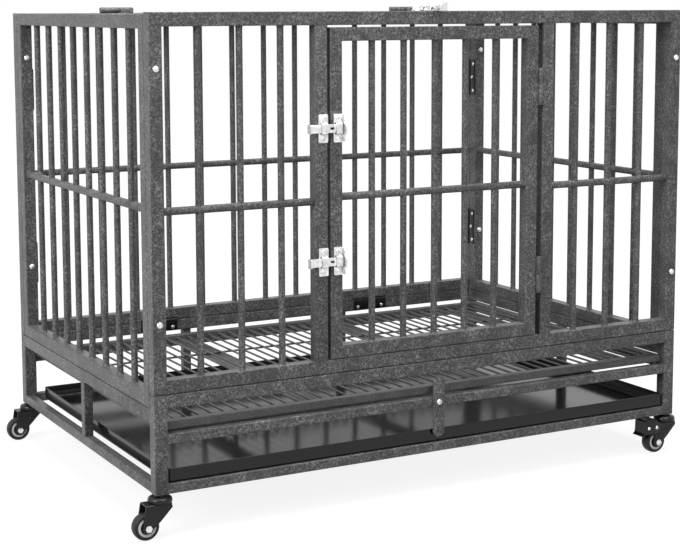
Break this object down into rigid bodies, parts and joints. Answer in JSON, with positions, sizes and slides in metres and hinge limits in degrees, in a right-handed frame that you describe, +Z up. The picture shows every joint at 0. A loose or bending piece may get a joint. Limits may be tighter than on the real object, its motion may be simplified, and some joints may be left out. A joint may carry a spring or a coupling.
{
  "type": "dog crate",
  "caption": "Heavy-duty steel bar dog crate with a front door, a top lid, a wire floor, a pull-out tray and braked castors.",
  "frame": {"origin": "middle of the footprint's bounding box, on the floor under the wheels", "axes": "+X along the front towards the door's hinge side, +Y from the front to the back, +Z up"},
  "size_m": [0.9804, 0.6446, 0.758],
  "materials": {
    "frame_paint": "hammered dark grey paint",
    "grid_paint": "satin dark grey paint",
    "tray_enamel": "glossy black",
    "bright_zinc": "bright zinc plating",
    "black_steel": "satin black",
    "black_rubber": "matt black with a pale ring on the wheel face"
  },
  "bodies": {
    "frame": {"front_panel": "frame_paint", "back_panel": "frame_paint", "left_panel": "frame_paint", "right_panel": "frame_paint", "base_frame": "frame_paint", "door_hinge_lower_jamb_half": "frame_paint", "door_hinge_upper_jamb_half": "frame_paint", "lid_hinge_left_panel_half": "frame_paint", "lid_hinge_right_panel_half": "frame_paint", "door_latch_lower_guide": "bright_zinc", "door_latch_upper_guide": "bright_zinc", "lid_latch_guide": "bright_zinc", "panel_bolt_front_left_lower": "bright_zinc", "panel_bolt_front_left_upper": "bright_zinc", "panel_bolt_front_right_lower": "bright_zinc", "panel_bolt_front_right_upper": "bright_zinc", "panel_bolt_rear_left_lower": "bright_zinc", "panel_bolt_rear_left_upper": "bright_zinc", "panel_bolt_rear_right_lower": "bright_zinc", "panel_bolt_rear_right_upper": "bright_zinc", "corner_hinge_left_lower": "black_steel", "corner_hinge_left_upper": "black_steel", "corner_hinge_right_lower": "black_steel", "corner_hinge_right_upper": "black_steel", "base_hinge_left": "black_steel", "base_hinge_right": "black_steel", "lock_tab_screw": "bright_zinc", "castor_front_left_cap": "black_steel", "castor_front_right_cap": "black_steel", "castor_rear_left_cap": "black_steel", "castor_rear_right_cap": "black_steel"},
    "door": {"front_door": "frame_paint", "door_hinge_lower_door_half": "frame_paint", "door_hinge_upper_door_half": "frame_paint", "door_latch_lower_keeper": "bright_zinc", "door_latch_upper_keeper": "bright_zinc"},
    "lid": {"top_lid": "frame_paint", "lid_hinge_left_lid_half": "frame_paint", "lid_hinge_right_lid_half": "frame_paint", "lid_latch_keeper": "bright_zinc"},
    "door_bolt_lower": {"door_latch_lower_bolt": "bright_zinc"},
    "door_bolt_upper": {"door_latch_upper_bolt": "bright_zinc"},
    "lid_bolt": {"lid_latch_bolt": "bright_zinc"},
    "tray": {"tray": "tray_enamel"},
    "grid": {"floor_grid": "grid_paint"},
    "tab": {"lock_tab": "frame_paint"},
    "fork_front_left": {"castor_front_left_fork": "black_steel", "castor_front_left_axle": "bright_zinc"},
    "fork_front_right": {"castor_front_right_fork": "black_steel", "castor_front_right_axle": "bright_zinc"},
    "fork_rear_left": {"castor_rear_left_fork": "black_steel", "castor_rear_left_axle": "bright_zinc"},
    "fork_rear_right": {"castor_rear_right_fork": "black_steel", "castor_rear_right_axle": "bright_zinc"},
    "wheel_front_left": {"castor_front_left_wheel": "black_rubber"},
    "wheel_front_right": {"castor_front_right_wheel": "black_rubber"},
    "wheel_rear_left": {"castor_rear_left_wheel": "black_rubber"},
    "wheel_rear_right": {"castor_rear_right_wheel": "black_rubber"},
    "brake_front_right": {"castor_front_right_brake": "black_steel"},
    "brake_rear_right": {"castor_rear_right_brake": "black_steel"}
  },
  "joints": [
    {"name": "door_swing", "type": "hinge", "parent": "frame", "child": "door", "pos_m": [0.20015, -0.30665, 0.4755], "axis": [0, 0, 1], "range_deg": [0, 170]},
    {"name": "door_bolt_lower_slide", "type": "slide", "parent": "frame", "child": "door_bolt_lower", "axis": [-1, 0, 0], "range_m": [0, 0.02]},
    {"name": "door_bolt_upper_slide", "type": "slide", "parent": "frame", "child": "door_bolt_upper", "axis": [-1, 0, 0], "range_m": [0, 0.02]},
    {"name": "lid_swing", "type": "hinge", "parent": "frame", "child": "lid", "pos_m": [0.01225, 0.28885, 0.747], "axis": [-1, 0, 0], "range_deg": [0, 180]},
    {"name": "lid_bolt_slide", "type": "slide", "parent": "frame", "child": "lid_bolt", "axis": [0, -1, 0], "range_m": [0, 0.02]},
    {"name": "tray_slide", "type": "slide", "parent": "frame", "child": "tray", "axis": [0, -1, 0], "range_m": [0, 0.5]},
    {"name": "grid_slide", "type": "slide", "parent": "frame", "child": "grid", "axis": [0, -1, 0], "range_m": [0, 0.008]},
    {"name": "tab_turn", "type": "hinge", "parent": "frame", "child": "tab", "pos_m": [0.01225, -0.30595, 0.1435], "axis": [0, 1, 0], "range_deg": [0, 90]},
    {"name": "swivel_front_left", "type": "hinge", "parent": "frame", "child": "fork_front_left", "pos_m": [-0.44775, -0.29565, 0.053], "axis": [0, 0, 1], "continuous": true},
    {"name": "swivel_front_right", "type": "hinge", "parent": "frame", "child": "fork_front_right", "pos_m": [0.47225, -0.29565, 0.053], "axis": [0, 0, 1], "continuous": true},
    {"name": "swivel_rear_left", "type": "hinge", "parent": "frame", "child": "fork_rear_left", "pos_m": [-0.44775, 0.30435, 0.053], "axis": [0, 0, 1], "continuous": true},
    {"name": "swivel_rear_right", "type": "hinge", "parent": "frame", "child": "fork_rear_right", "pos_m": [0.47225, 0.30435, 0.053], "axis": [0, 0, 1], "continuous": true},
    {"name": "roll_front_left", "type": "hinge", "parent": "fork_front_left", "child": "wheel_front_left", "pos_m": [-0.47075, -0.29565, 0.0195], "axis": [0, 1, 0], "continuous": true},
    {"name": "roll_front_right", "type": "hinge", "parent": "fork_front_right", "child": "wheel_front_right", "pos_m": [0.44925, -0.29565, 0.0195], "axis": [0, 1, 0], "continuous": true},
    {"name": "roll_rear_left", "type": "hinge", "parent": "fork_rear_left", "child": "wheel_rear_left", "pos_m": [-0.47075, 0.30435, 0.0195], "axis": [0, 1, 0], "continuous": true},
    {"name": "roll_rear_right", "type": "hinge", "parent": "fork_rear_right", "child": "wheel_rear_right", "pos_m": [0.44925, 0.30435, 0.0195], "axis": [0, 1, 0], "continuous": true},
    {"name": "brake_front_right", "type": "hinge", "parent": "fork_front_right", "child": "brake_front_right", "pos_m": [0.44525, -0.29565, 0.0456], "axis": [0, -1, 0], "range_deg": [0, 18]},
    {"name": "brake_rear_right", "type": "hinge", "parent": "fork_rear_right", "child": "brake_rear_right", "pos_m": [0.44525, 0.30435, 0.0456], "axis": [0, -1, 0], "range_deg": [0, 18]}
  ]
}
